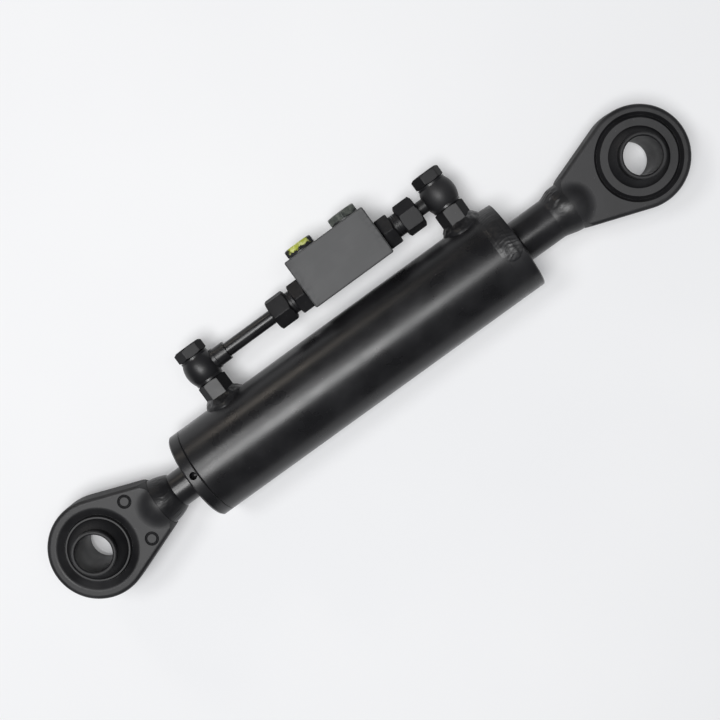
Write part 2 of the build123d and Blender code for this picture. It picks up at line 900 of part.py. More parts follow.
with BuildPart() as rear_banjo:
    with BuildSketch(radial_plane(rear_port_x)):
        with BuildLine():
            ThreePointArc(*banjo_ball)
            Polyline(banjo_ball[2], (0, banjo_top), (0, banjo_base), banjo_ball[0])
        make_face()
    revolve(axis=port_axis(rear_port_x))
    revolve(
        outline(
            valve_plane(-1),
            [
                (stub_tip, 0),
                (stub_tip, tube_r),
                (bulb_start, cone_mouth_diameter / 2 - assembly_clearance),
                (bulb_start, bulb_r),
                (bulb_end - (bulb_r - tube_r), bulb_r),
                (bulb_end, tube_r),
                (rear_station, tube_r),
                (rear_station, 0),
            ],
        ),
        axis=pipe_axis,
    )
    with Locations(port_section(rear_port_x, banjo_top)):
        Hole(banjo_hole_r)
    with Locations(pipe_section(-1, stub_tip).rotated((180, 0, 0))):
        Hole(tube_bore_r, depth=rear_station - stub_tip)
rear_banjo.part.label = "rear_banjo"
export_step(rear_banjo.part, "parts/rear_banjo.step")

# Transfer tube from the front adapter to the front banjo
tube_start = hex_end + adapter_stop
with BuildPart() as transfer_tube:
    with BuildSketch(pipe_section(1, tube_start)):
        Circle(tube_r)
        Circle(tube_bore_r, mode=Mode.SUBTRACT)
    extrude(amount=socket_floor - tube_start)
transfer_tube.part.label = "transfer_tube"
export_step(transfer_tube.part, "parts/transfer_tube.step")

# Union nuts: the tube nut in front, the swivel nut behind
nut_thread_r = adapter_nose_diameter / 2 + assembly_clearance
nut_tail_r = tube_r + assembly_clearance
nuts = (
    ("tube_nut", 1, hex_end + front_thread_gap, tube_nut_turn),
    ("swivel_nut", -1, swivel_front, swivel_nut_turn),
)
for nut_name, toward, nut_front, turn in nuts:
    nut_back = nut_front + nut_length
    shoulder = bulb_end + assembly_clearance
    with BuildPart() as nut:
        with BuildSketch(pipe_section(toward, nut_front)):
            RegularPolygon(nut_flats / 2, 6, major_radius=False, rotation=turn)
        extrude(amount=nut_length)
        revolve(
            hex_envelope(valve_plane(toward), nut_flats, nut_front, nut_back),
            axis=pipe_axis,
            mode=Mode.INTERSECT,
        )
        revolve(
            outline(
                valve_plane(toward),
                [
                    (nut_front, 0),
                    (nut_front, nut_thread_r),
                    (shoulder - (nut_thread_r - nut_tail_r), nut_thread_r),
                    (shoulder, nut_tail_r),
                    (nut_back, nut_tail_r),
                    (nut_back, 0),
                ],
            ),
            axis=pipe_axis,
            mode=Mode.SUBTRACT,
        )
    nut.part.label = nut_name
    export_step(nut.part, f"parts/{nut_name}.step")

# Cutting ring that grips the tube in the front adapter's cone
with BuildPart() as cutting_ring:
    revolve(
        outline(
            valve_plane(1),
            [
                (stub_tip, tube_r),
                (stub_tip, tube_r + 2 * assembly_clearance),
                (bulb_start, cone_mouth_diameter / 2 - assembly_clearance),
                (bulb_start, bulb_r),
                (bulb_end - (bulb_r - tube_r), bulb_r),
                (bulb_end, tube_r + assembly_clearance),
                (bulb_end, tube_r),
            ],
        ),
        axis=pipe_axis,
    )
cutting_ring.part.label = "cutting_ring"
export_step(cutting_ring.part, "parts/cutting_ring.step")

# Adapters: stud in the block, hexagon, and a threaded nose with a cone for the tube
stud_r = hose_port_diameter / 2 - assembly_clearance
cone_root = nose_end - cone_length
for side, toward in (("front", 1), ("rear", -1)):
    with BuildPart() as adapter:
        with BuildSketch(pipe_section(toward, block_half)):
            RegularPolygon(adapter_flats / 2, 6, major_radius=False, rotation=30)
        extrude(amount=adapter_hex)
        revolve(
            hex_envelope(valve_plane(toward), adapter_flats, block_half, hex_end),
            axis=pipe_axis,
            mode=Mode.INTERSECT,
        )
        revolve(
            outline(
                valve_plane(toward),
                [
                    (block_half - stud_length, 0),
                    (block_half - stud_length, stud_r),
                    (block_half, stud_r),
                    (hex_end, adapter_nose_diameter / 2),
                    (nose_end, adapter_nose_diameter / 2),
                    (nose_end, 0),
                ],
            ),
            axis=pipe_axis,
        )
        revolve(
            outline(
                valve_plane(toward),
                [
                    (block_half - stud_length, 0),
                    (block_half - stud_length, adapter_bore / 2),
                    (tube_start, adapter_bore / 2),
                    (tube_start, tube_r + assembly_clearance),
                    (cone_root, tube_r + assembly_clearance),
                    (nose_end, cone_mouth_diameter / 2),
                    (nose_end, 0),
                ],
            ),
            axis=pipe_axis,
            mode=Mode.SUBTRACT,
        )
    adapter.part.label = f"{side}_adapter"
    export_step(adapter.part, f"parts/{side}_adapter.step")

# Valve block, bored through for the valve, ported at both ends and drilled from the two hose ports
block_top = pipe_offset + block_above
with BuildPart() as valve_block:
    with Locations((block_centre, -pipe_offset + (block_below - block_above) / 2, 0)):
        Box(block_length, block_below + block_above, block_depth)
    chamfer(valve_block.edges(), block_edge)
    with Locations(pipe_section(1, block_half)):
        Hole(valve_bore / 2)
    for toward in (1, -1):
        with Locations(pipe_section(toward, block_half)):
            Hole(hose_port_diameter / 2, depth=stud_length)
        with Locations(port_section(block_centre + toward * hose_port_offset, block_top)):
            Hole(hose_port_diameter / 2, depth=hose_port_depth)
        with Locations(port_section(block_centre + toward * groove_middle, block_top - hose_port_depth)):
            Hole(hose_drill_diameter / 2, depth=block_above - hose_port_depth)
valve_block.part.label = "valve_block"
export_step(valve_block.part, "parts/valve_block.step")

# Hexagon plugs that close the hose ports, hollow from below
plug_seat = block_top + plug_flange
for side, toward in (("front", 1), ("rear", -1)):
    plug_x = block_centre + toward * hose_port_offset
    with BuildPart() as plug:
        with BuildSketch(port_section(plug_x, plug_seat)):
            RegularPolygon(plug_flats / 2, 6, major_radius=False, rotation=30)
        extrude(amount=plug_head)
        revolve(
            hex_envelope(upright_plane(plug_x), plug_flats, plug_seat - plug_head, plug_seat + plug_head),
            axis=port_axis(plug_x),
            mode=Mode.INTERSECT,
        )
        with BuildSketch(port_section(plug_x, block_top)):
            Circle(plug_flange_diameter / 2)
        extrude(amount=plug_flange)
        with BuildSketch(port_section(plug_x, block_top - plug_shank)):
            Circle(hose_port_diameter / 2 - assembly_clearance)
        extrude(amount=plug_shank)
        with Locations(port_section(plug_x, block_top - plug_shank)):
            Hole(plug_recess_diameter / 2, depth=plug_recess_depth)
    plug.part.label = f"{side}_port_plug"
    export_step(plug.part, f"parts/{side}_port_plug.step")

# Pilot piston, with a pin each side that reaches the poppets
pin_tip = poppet_nose - touch_gap
pilot_pin_r = pilot_pin_diameter / 2
pilot_r = valve_bore / 2 - running_clearance
with BuildPart() as pilot_piston:
    revolve(
        outline(
            valve_plane(1),
            [
                (-pin_tip, 0),
                (-pin_tip, pilot_pin_r),
                (-pilot_half_length, pilot_pin_r),
                (-pilot_half_length, pilot_r),
                (pilot_half_length, pilot_r),
                (pilot_half_length, pilot_pin_r),
                (pin_tip, pilot_pin_r),
                (pin_tip, 0),
            ],
        ),
        axis=pipe_axis,
    )
pilot_piston.part.label = "pilot_piston"
export_step(pilot_piston.part, "parts/pilot_piston.step")

# Check valves: a seat sleeve, a cone poppet with a guide stem, and a spring against the adapter's stud
seat_r = valve_bore / 2 - touch_gap
spring_length = spring_end - poppet_back - spring_wire - 2 * touch_gap
spring_first = poppet_back + spring_wire / 2 + touch_gap
for side, toward in (("front", 1), ("rear", -1)):
    groove_start = groove_middle - seat_groove_width / 2
    groove_end = groove_middle + seat_groove_width / 2
    groove_r = seat_r - seat_groove_depth
    with BuildPart() as check_seat:
        revolve(
            outline(
                valve_plane(toward),
                [
                    (seat_start, seat_bore / 2),
                    (seat_start, seat_r),
                    (groove_start, seat_r),
                    (groove_start, groove_r),
                    (groove_end, groove_r),
                    (groove_end, seat_r),
                    (seat_end, seat_r),
                    (seat_end, seat_hole_r),
                    (seat_end - seat_land, seat_hole_r),
                    (seat_end - seat_land, seat_bore / 2),
                ],
            ),
            axis=pipe_axis,
        )
        with Locations(pipe_section(toward, groove_middle)):
            with PolarLocations(seat_r, seat_cross_hole_count):
                with Locations(Location((0, 0, 0), (0, 90, 0))):
                    Hole(seat_cross_hole_diameter / 2, depth=seat_r - pilot_pin_r)
    check_seat.part.label = f"{side}_check_seat"
    export_step(check_seat.part, f"parts/{side}_check_seat.step")

    with BuildPart() as poppet:
        stem_r_small = poppet_stem_diameter / 2
        revolve(
            outline(
                valve_plane(toward),
                [
                    (poppet_nose, 0),
                    (poppet_nose, poppet_tip_r),
                    (poppet_shoulder, poppet_r),
                    (poppet_back, poppet_r),
                    (poppet_back, stem_r_small),
                    (poppet_back + poppet_stem, stem_r_small),
                    (poppet_back + poppet_stem, 0),
                ],
            ),
            axis=pipe_axis,
        )
    poppet.part.label = f"{side}_check_poppet"
    export_step(poppet.part, f"parts/{side}_check_poppet.step")

    coil_centre = (block_centre + toward * spring_first, -pipe_offset, 0)
    with BuildPart() as check_spring:
        with BuildLine() as coil:
            Helix(
                spring_length / spring_turns,
                spring_length,
                spring_mean_diameter / 2,
                center=coil_centre,
                direction=(toward, 0, 0),
            )
        with BuildSketch(Plane(origin=coil.line @ 0, z_dir=coil.line % 0)):
            Circle(spring_wire / 2)
        sweep(is_frenet=True)
    check_spring.part.label = f"{side}_check_spring"
    export_step(check_spring.part, f"parts/{side}_check_spring.step")
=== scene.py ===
import json
import math

import bpy
import bmesh
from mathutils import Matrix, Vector, noise


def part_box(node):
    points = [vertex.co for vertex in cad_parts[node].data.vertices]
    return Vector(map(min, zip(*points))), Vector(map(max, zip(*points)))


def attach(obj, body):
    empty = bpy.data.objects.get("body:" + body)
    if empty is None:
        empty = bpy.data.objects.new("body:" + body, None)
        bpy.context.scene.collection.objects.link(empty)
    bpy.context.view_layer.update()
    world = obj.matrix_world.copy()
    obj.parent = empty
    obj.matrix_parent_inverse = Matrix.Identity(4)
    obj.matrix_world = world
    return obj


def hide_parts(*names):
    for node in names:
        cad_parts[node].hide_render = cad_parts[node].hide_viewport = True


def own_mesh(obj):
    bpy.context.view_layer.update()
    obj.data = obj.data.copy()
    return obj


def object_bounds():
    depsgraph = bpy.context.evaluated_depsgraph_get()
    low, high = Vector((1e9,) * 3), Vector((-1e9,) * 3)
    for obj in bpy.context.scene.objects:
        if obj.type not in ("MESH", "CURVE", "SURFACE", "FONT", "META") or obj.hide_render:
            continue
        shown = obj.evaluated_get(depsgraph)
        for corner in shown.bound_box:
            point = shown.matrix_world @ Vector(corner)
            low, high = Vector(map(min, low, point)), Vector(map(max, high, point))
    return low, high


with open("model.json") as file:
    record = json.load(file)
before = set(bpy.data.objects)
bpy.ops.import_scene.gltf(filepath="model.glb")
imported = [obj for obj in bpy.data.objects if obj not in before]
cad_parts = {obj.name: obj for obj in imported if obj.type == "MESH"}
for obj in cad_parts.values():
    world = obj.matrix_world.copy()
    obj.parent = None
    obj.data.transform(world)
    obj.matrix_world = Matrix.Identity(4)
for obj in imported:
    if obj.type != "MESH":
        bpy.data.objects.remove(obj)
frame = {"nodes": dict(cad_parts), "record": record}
cad_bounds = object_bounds()
nodes = frame["nodes"]
X, Y, Z = 0, 1, 2
MM = 0.001

# Camera, fitted to the photograph: nearly overhead, turned so that the rod end is at the lower left
CAMERA_PLACE = (0.17545, -0.05046, 0.86846)
CAMERA_TURN = (-0.0844, 0.0152, 2.5119)
CAMERA_LENS = 63.905
SENSOR_WIDTH = 36.0

# Threads on the noses of the two adapters, which the solids leave plain
NOSE_RADIUS = 8.0 * MM
HEXAGON_LENGTH = 9.7 * MM
THREAD_PITCH = 1.5 * MM
THREAD_HEIGHT = 0.12 * MM
THREAD_SUNK = 0.15 * MM
THREAD_FOOT = 0.38 * THREAD_PITCH
THREAD_CREST = 0.12 * THREAD_PITCH
THREAD_STEPS = 48
THREAD_RUN_OUT = 1 / 6

# Welds: depth of the scales, and how much the noise of the lumps changes across a bead
SCALE_DEPTH = 0.175 * MM
LUMP_STRETCH = 3.1

# Colours
WHITE = (1.0, 1.0, 1.0)
WARM = (1.0, 0.9, 0.78)
BLACK = (0.0075, 0.0075, 0.0085)
UNEVEN_BLACK = tuple(1.4 * c + 0.002 for c in BLACK)
RUBBED = (0.07, 0.07, 0.074)
RUBBED_BALL = (0.12, 0.12, 0.125)
SPECK = (0.16, 0.16, 0.165)
# Grey of the dust on upward faces, which also serves as painted light there
DUST_AND_PAINTED_LIGHT = (0.32, 0.32, 0.33)

# Gloss of the paint, and how strongly its specks and rubbed edges show
GLOSS = 0.33
SPECK_SHARE = 0.25
RUBBED_SHARE = 0.5

# Floor and sky
FLOOR_SIZE = 24.0
FLOOR_COLOURS = (0.86, 0.866, 0.882), (0.89, 0.895, 0.908)
FLOOR_ROUGHNESS = 0.8
FLOOR_GLOW = 0.2
SKY_COLOUR = (0.93, 0.96, 1.0)
SKY_STRENGTH = 0.09


# Places and radii read from the solids
def low(node, axis):
    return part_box(node)[0][axis]


def high(node, axis):
    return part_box(node)[1][axis]


def half_width(node, axis):
    """Half of a node's size along an axis."""
    return (high(node, axis) - low(node, axis)) / 2


def middle(node, axis):
    return (high(node, axis) + low(node, axis)) / 2


barrel_radius = half_width("barrel_tube", Z)
stem_radius = half_width("rear_stem", Z)
rod_radius = half_width("piston_rod", Z)
link_middle = (cad_bounds[0][X] + cad_bounds[1][X]) / 2


# Shader nodes
def shader(name):
    """A new material, its node tree and its Principled surface."""
    material = bpy.data.materials.new(name)
    material.use_nodes = True
    tree = material.node_tree
    return material, tree, tree.nodes["Principled BSDF"]


def add(tree, kind, **settings):
    """A node with its settings; a setting that is no property of the node is one of its inputs."""
    node = tree.nodes.new(kind)
    for key, value in settings.items():
        if hasattr(node, key):
            setattr(node, key, value)
        else:
            node.inputs[key].default_value = value
    return node


def ramp(tree, source, low_stop, high_stop, low_value=0.0, high_value=1.0):
    """Maps a value between two stops to a range, clamped."""
    node = add(tree, "ShaderNodeMapRange", clamp=True)
    for index, value in enumerate((low_stop, high_stop, low_value, high_value), start=1):
        node.inputs[index].default_value = value
    tree.links.new(source, node.inputs[0])
    return node.outputs[0]


def blend(tree, factor, first, second):
    """Mixes two colours, each a socket or an RGB tuple."""
    node = add(tree, "ShaderNodeMix", data_type="RGBA")
    tree.links.new(factor, node.inputs[0])
    for index, value in ((6, first), (7, second)):
        if isinstance(value, tuple):
            node.inputs[index].default_value = (*value, 1.0)
        else:
            tree.links.new(value, node.inputs[index])
    return node.outputs[2]


def calculate(tree, operation, *values):
    """Result of an arithmetic operation on values, each a socket or a number."""
    node = add(tree, "ShaderNodeMath", operation=operation)
    for index, value in enumerate(values):
        if isinstance(value, (int, float)):
            node.inputs[index].default_value = value
        else:
            tree.links.new(value, node.inputs[index])
    return node.outputs[0]


def times(tree, first, second):
    return calculate(tree, "MULTIPLY", first, second)


def shifted(tree, value, amount, base):
    """Base plus a value times an amount."""
    return calculate(tree, "MULTIPLY_ADD", value, amount, base)


def distance_from(tree, value, centre):
    """How far a value is from a centre."""
    return calculate(tree, "ABSOLUTE", calculate(tree, "SUBTRACT", value, centre))


def part_of(tree, vector, axis):
    """One component of a vector, named by its letter."""
    node = add(tree, "ShaderNodeSeparateXYZ")
    tree.links.new(vector, node.inputs[0])
    return node.outputs[axis]


def noise_value(tree, place, scale, detail=3.0, roughness=0.5):
    node = add(tree, "ShaderNodeTexNoise", Scale=scale, Detail=detail, Roughness=roughness)
    tree.links.new(place, node.inputs["Vector"])
    return node.outputs["Fac"]


def object_place(tree, stretch=(1.0, 1.0, 1.0)):
    """Object coordinates in metres, stretched along the axes."""
    coordinates = add(tree, "ShaderNodeTexCoord")
    mapping = add(tree, "ShaderNodeMapping", Scale=stretch)
    tree.links.new(coordinates.outputs["Object"], mapping.inputs["Vector"])
    return mapping.outputs["Vector"]


def face_normal(tree):
    return add(tree, "ShaderNodeNewGeometry").outputs["Normal"]


def rounded_normal(tree, radius):
    """Shading normals that round the edges off."""
    return add(tree, "ShaderNodeBevel", samples=4, Radius=radius).outputs["Normal"]


def edge_mask(tree, rounded):
    """1 along the edges, where the rounded normal leaves the face's own."""
    dot = add(tree, "ShaderNodeVectorMath", operation="DOT_PRODUCT")
    tree.links.new(rounded, dot.inputs[0])
    tree.links.new(face_normal(tree), dot.inputs[1])
    return ramp(tree, dot.outputs["Value"], 0.995, 0.85)


def bump(tree, height, strength, distance, normal=None):
    node = add(tree, "ShaderNodeBump", Strength=strength, Distance=distance)
    tree.links.new(height, node.inputs["Height"])
    if normal is not None:
        tree.links.new(normal, node.inputs["Normal"])
    return node.outputs["Normal"]


# Materials
def paint(name, rough, peel, worn=RUBBED, edge_radius=0.5 * MM, dust_and_painted_light=0.02, dry=None):
    """Sprayed black paint: orange peel, uneven gloss, dust that lightens upward faces and, where heavier,
    is also painted light on them, specks and, with an edge radius, rubbed edges.

    rough gives the least and the most roughness. dry gives the slopes between which a face gains its
    gloss, and the gloss that is left on upright faces, which the spray hardly reached."""
    material, tree, surface = shader(name)
    place = object_place(tree)
    cloud = noise_value(tree, place, scale=45.0, detail=4.0)
    body = blend(tree, ramp(tree, cloud, 0.35, 0.7), BLACK, UNEVEN_BLACK)
    grains = noise_value(tree, place, scale=800.0, detail=1.0)
    body = blend(tree, times(tree, ramp(tree, grains, 0.76, 0.8), SPECK_SHARE), body, SPECK)
    rounded = None
    if edge_radius:
        rounded = rounded_normal(tree, edge_radius)
        patches = ramp(tree, noise_value(tree, place, scale=180.0, detail=5.0), 0.5, 0.72)
        rubbed = times(tree, edge_mask(tree, rounded), patches)
        body = blend(tree, times(tree, rubbed, RUBBED_SHARE), body, worn)
    upward = part_of(tree, face_normal(tree), "Z")
    # Dust settled on upward faces; a heavier amount is also painted light that lightens them
    settled_and_lit = times(tree, ramp(tree, upward, 0.2, 1.0), ramp(tree, cloud, 0.3, 0.75, 0.2, 1.0))
    body = blend(tree, times(tree, settled_and_lit, dust_and_painted_light), body, DUST_AND_PAINTED_LIGHT)
    tree.links.new(body, surface.inputs["Base Color"])
    tree.links.new(ramp(tree, cloud, 0.3, 0.7, *rough), surface.inputs["Roughness"])
    if dry:
        start, end, left = dry
        gloss = ramp(tree, distance_from(tree, upward, 0.0), start, end, left, GLOSS)
        tree.links.new(gloss, surface.inputs["Specular IOR Level"])
    else:
        surface.inputs["Specular IOR Level"].default_value = GLOSS
    fine = noise_value(tree, place, scale=1300.0, detail=2.0)
    uneven = bump(tree, fine, strength=peel, distance=0.25 * MM, normal=rounded)
    tree.links.new(uneven, surface.inputs["Normal"])
    return material


def block_grey():
    """Grey valve block: satin, faint milling lines, painted shade along its edges, black overspray near
    both ends.
    """
    material, tree, surface = shader("valve grey")
    place = object_place(tree)
    grey, uneven_grey = (0.075, 0.076, 0.078), (0.086, 0.087, 0.089)
    milled, line_share = (0.11, 0.11, 0.113), 0.2
    painted_edge_shade, edge_shade_share = (0.05, 0.05, 0.052), 0.25
    overspray, spray_share, spray_reach = (0.03, 0.03, 0.032), 0.7, 7 * MM
    lines = noise_value(tree, object_place(tree, (60.0, 2500.0, 2500.0)), scale=1.0, detail=2.0)
    cloud = noise_value(tree, place, scale=60.0, detail=4.0)
    rounded = rounded_normal(tree, 0.6 * MM)
    body = blend(tree, ramp(tree, cloud, 0.3, 0.7), grey, uneven_grey)
    body = blend(tree, times(tree, ramp(tree, lines, 0.35, 0.75), line_share), body, milled)
    # Painted shade: every edge of the block darkened, standing in for the shade on its chamfers
    body = blend(tree, times(tree, edge_mask(tree, rounded), edge_shade_share), body, painted_edge_shade)
    end = half_width("valve_block", X)
    outward = distance_from(tree, part_of(tree, place, "X"), middle("valve_block", X))
    droplets = ramp(tree, noise_value(tree, place, scale=420.0, detail=5.0), 0.4, 0.75)
    spray = times(tree, ramp(tree, outward, end - spray_reach, end), droplets)
    body = blend(tree, times(tree, spray, spray_share), body, overspray)
    tree.links.new(body, surface.inputs["Base Color"])
    tree.links.new(ramp(tree, cloud, 0.3, 0.7, 0.5, 0.6), surface.inputs["Roughness"])
    surface.inputs["Specular IOR Level"].default_value = 0.25
    uneven = bump(tree, lines, strength=0.08, distance=0.1 * MM, normal=rounded)
    tree.links.new(uneven, surface.inputs["Normal"])
    return material


def plug_plastic(name, node, colour, pale, bare_from, bare_half):
    """Plastic plug, blackened by overspray low down, towards both ends and in blotches.

    bare_from is the share of its height where the plastic begins to show, bare_half how far it shows to
    each side of the middle."""
    material, tree, surface = shader(name)
    place = object_place(tree)
    wander = noise_value(tree, place, scale=330.0, detail=3.0)
    mottle = noise_value(tree, place, scale=230.0, detail=5.0, roughness=0.6)
    top, seat = low(node, Y), low("valve_block", Y)
    bare_y = seat + (top - seat) * bare_from
    wander_reach = 6 * MM
    mean_wander = wander_reach / 2
    fade_down, fade_across = 0.4 * MM, 0.5 * MM
    level = shifted(tree, wander, wander_reach, part_of(tree, place, "Y"))
    edge_y = bare_y + mean_wander
    height = ramp(tree, level, edge_y + fade_down, edge_y - fade_down)
    from_middle = distance_from(tree, part_of(tree, place, "X"), middle(node, X))
    outward = shifted(tree, wander, wander_reach, from_middle)
    edge_x = bare_half + mean_wander
    across = ramp(tree, outward, edge_x + fade_across, edge_x - fade_across)
    shown = times(tree, times(tree, height, across), ramp(tree, mottle, 0.33, 0.4))
    bare = blend(tree, ramp(tree, mottle, 0.48, 0.6), colour, pale)
    overspray = (0.014, 0.014, 0.016)
    body = blend(tree, shown, overspray, bare)
    tree.links.new(body, surface.inputs["Base Color"])
    tree.links.new(ramp(tree, mottle, 0.3, 0.7, 0.35, 0.55), surface.inputs["Roughness"])
    fine = noise_value(tree, place, scale=1600.0, detail=2.0)
    rounded = rounded_normal(tree, 0.4 * MM)
    uneven = bump(tree, fine, strength=0.12, distance=0.15 * MM, normal=rounded)
    tree.links.new(uneven, surface.inputs["Normal"])
    return material


def rod_finish():
    """Chromed rod, painted over where it stands out of the gland."""
    material, tree, surface = shader("rod chrome and paint")
    place = object_place(tree)
    chrome, bright_chrome = (0.55, 0.55, 0.57), (0.66, 0.66, 0.68)
    chrome_rough, paint_rough = 0.12, 0.3
    wander, thin, full = 1.6 * MM, 1.2 * MM, 2.2 * MM
    edge = noise_value(tree, place, scale=260.0, detail=4.0)
    along = shifted(tree, edge, wander, part_of(tree, place, "X"))
    start = high("gland", X)
    painted = ramp(tree, along, start + thin, start + full)
    rings = noise_value(tree, object_place(tree, (1800.0, 40.0, 40.0)), scale=1.0, detail=2.0)
    steel = blend(tree, ramp(tree, rings, 0.3, 0.7), chrome, bright_chrome)
    cloud = noise_value(tree, place, scale=45.0, detail=4.0)
    black = blend(tree, ramp(tree, cloud, 0.35, 0.7), BLACK, (0.012, 0.012, 0.0135))
    tree.links.new(blend(tree, painted, steel, black), surface.inputs["Base Color"])
    tree.links.new(ramp(tree, painted, 0.0, 1.0, 1.0, 0.0), surface.inputs["Metallic"])
    tree.links.new(ramp(tree, painted, 0.0, 1.0, chrome_rough, paint_rough), surface.inputs["Roughness"])
    tree.links.new(bump(tree, rings, strength=0.03, distance=0.05 * MM), surface.inputs["Normal"])
    return material


def bare_metal(name, colour, rough):
    """Turned steel with fine rings."""
    material, tree, surface = shader(name)
    rings = noise_value(tree, object_place(tree, (1500.0, 60.0, 60.0)), scale=1.0, detail=3.0)
    cloud = noise_value(tree, object_place(tree), scale=90.0, detail=3.0)
    body = blend(tree, ramp(tree, cloud, 0.3, 0.7), colour, tuple(1.2 * c for c in colour))
    tree.links.new(body, surface.inputs["Base Color"])
    surface.inputs["Metallic"].default_value = 1.0
    tree.links.new(ramp(tree, rings, 0.3, 0.7, rough, rough + 0.12), surface.inputs["Roughness"])
    tree.links.new(bump(tree, rings, strength=0.1, distance=0.05 * MM), surface.inputs["Normal"])
    return material


def moulded(name, colour, rough):
    """Rubber or plastic with a faint grain."""
    material, tree, surface = shader(name)
    place = object_place(tree)
    cloud = noise_value(tree, place, scale=120.0, detail=4.0)
    body = blend(tree, ramp(tree, cloud, 0.3, 0.7), colour, tuple(1.3 * c for c in colour))
    tree.links.new(body, surface.inputs["Base Color"])
    tree.links.new(ramp(tree, cloud, 0.3, 0.7, rough, rough + 0.15), surface.inputs["Roughness"])
    grain = noise_value(tree, place, scale=1500.0, detail=2.0)
    tree.links.new(bump(tree, grain, strength=0.15, distance=0.1 * MM), surface.inputs["Normal"])
    return material


def pale_floor():
    """Pale floor that glows a little to the camera and in reflections, so the shadow on it stays soft."""
    material, tree, surface = shader("pale floor")
    cloud = noise_value(tree, object_place(tree), scale=3.0, detail=3.0)
    body = blend(tree, ramp(tree, cloud, 0.3, 0.7), *FLOOR_COLOURS)
    tree.links.new(body, surface.inputs["Base Color"])
    surface.inputs["Roughness"].default_value = FLOOR_ROUGHNESS
    glow = add(tree, "ShaderNodeEmission")
    tree.links.new(body, glow.inputs["Color"])
    rays = add(tree, "ShaderNodeLightPath").outputs
    seen = calculate(tree, "MAXIMUM", rays["Is Camera Ray"], rays["Is Glossy Ray"])
    seen = calculate(tree, "MAXIMUM", seen, rays["Is Transmission Ray"])
    mix = add(tree, "ShaderNodeMixShader")
    tree.links.new(times(tree, seen, FLOOR_GLOW), mix.inputs["Fac"])
    tree.links.new(surface.outputs["BSDF"], mix.inputs[1])
    tree.links.new(glow.outputs["Emission"], mix.inputs[2])
    tree.links.new(mix.outputs[0], tree.nodes["Material Output"].inputs["Surface"])
    return material


black_paint = paint("black paint", rough=(0.25, 0.35), peel=0.1)
weld_paint = paint("black paint on weld", rough=(0.3, 0.42), peel=0.16, edge_radius=None)
forging_paint = paint(
    "black paint on forging",
    rough=(0.4, 0.5),
    peel=0.14,
    edge_radius=0.25 * MM,
    # Heavier dust here is partly painted light, brightening the upward faces of the eyes
    dust_and_painted_light=0.05,
    dry=(0.05, 0.35, 0.03),
)
fitting_paint = paint(
    "black paint on fitting",
    rough=(0.38, 0.48),
    peel=0.12,
    edge_radius=1.1 * MM,
    dry=(0.6, 0.97, 0.04),
)
banjo_paint = paint("black paint on banjo", rough=(0.3, 0.4), peel=0.14)
ball_paint = paint("dull black on ball", rough=(0.42, 0.56), peel=0.14, worn=RUBBED_BALL)

finishes = {
    "black_paint": black_paint,
    "valve_grey": block_grey(),
    "rod_chrome": rod_finish(),
    "plain_steel": bare_metal("plain steel", (0.4, 0.4, 0.41), rough=0.3),
    "yellow_plug": plug_plastic(
        "yellow plug",
        "front_port_plug",
        colour=(0.36, 0.4, 0.05),
        pale=(0.62, 0.66, 0.26),
        bare_from=0.4,
        bare_half=7.5 * MM,
    ),
    "dark_plug": plug_plastic(
        "dark plug",
        "rear_port_plug",
        colour=(0.055, 0.062, 0.056),
        pale=(0.1, 0.108, 0.096),
        bare_from=0.2,
        bare_half=12.0 * MM,
    ),
    "seal_rubber": moulded("seal rubber", (0.018, 0.018, 0.018), rough=0.6),
    "guide_plastic": moulded("guide plastic", (0.3, 0.24, 0.14), rough=0.5),
}
for entry in frame["record"]["subparts"]:
    mesh = nodes[entry["node"]].data
    mesh.materials.clear()
    mesh.materials.append(finishes[entry["material_slot"]])

# Pieces whose black paint differs from the barrel's
fitting_kinds = ("port_boss", "banjo_bolt", "adapter")
fittings = [f"{side}_{kind}" for side in ("rear", "front") for kind in fitting_kinds]
own_paint = (
    (ball_paint, ("rear_ball", "rod_ball")),
    (forging_paint, ("rear_eye", "rod_eye", "rear_banjo")),
    (banjo_paint, ("front_banjo",)),
    (fitting_paint, (*fittings, "tube_nut", "swivel_nut")),
)
for material, pieces in own_paint:
    for node in pieces:
        nodes[node].data.materials[0] = material


# Helpers for the pieces that the scene adds
def place_mesh(name, verts, faces, material, body, crease=35.0):
    """A new piece from its points and faces, smooth up to the crease angle and riding on a CAD body."""
    mesh = bpy.data.meshes.new(name)
    mesh.from_pydata(verts, [], faces)
    mesh.validate()
    work = bmesh.new()
    work.from_mesh(mesh)
    bmesh.ops.recalc_face_normals(work, faces=work.faces)
    work.to_mesh(mesh)
    work.free()
    for polygon in mesh.polygons:
        polygon.use_smooth = True
    mesh.set_sharp_from_angle(angle=math.radians(crease))
    mesh.materials.append(material)
    piece = bpy.data.objects.new(name, mesh)
    bpy.context.scene.collection.objects.link(piece)
    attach(piece, body)
    return piece


def swept_ring(section, steps):
    """Points and faces of a closed ring; section gives the closed loop of points at an angle."""
    verts, faces = [], []
    for i in range(steps):
        verts += section(2 * math.pi * i / steps)
    count = len(verts) // steps
    for i in range(steps):
        here, there = i * count, (i + 1) % steps * count
        for j in range(count):
            k = (j + 1) % count
            faces.append((here + j, here + k, there + k, there + j))
    return verts, faces


def lump(angle, across, seed, size):
    """Smooth unevenness round a ring, repeating after a full turn."""
    place = Vector((size * math.cos(angle), size * math.sin(angle), LUMP_STRETCH * across + seed))
    return noise.noise(place)


def scale_height(phase):
    """Height of a weld's scales, from 0 to 1: a sharp ridge at each half turn of the phase."""
    return 1 - abs(math.sin(phase))


def around_link(angle, x, radius):
    """Point round the link's axis: angle 0 is up, a quarter turn is the valve side."""
    return (x, -radius * math.sin(angle), radius * math.cos(angle))


def near_angle(angle, centre, spread):
    """1 at an angle round the link, falling off to both sides."""
    turn = (angle - centre + math.pi) % (2 * math.pi) - math.pi
    return math.exp(-((turn / spread) ** 2))


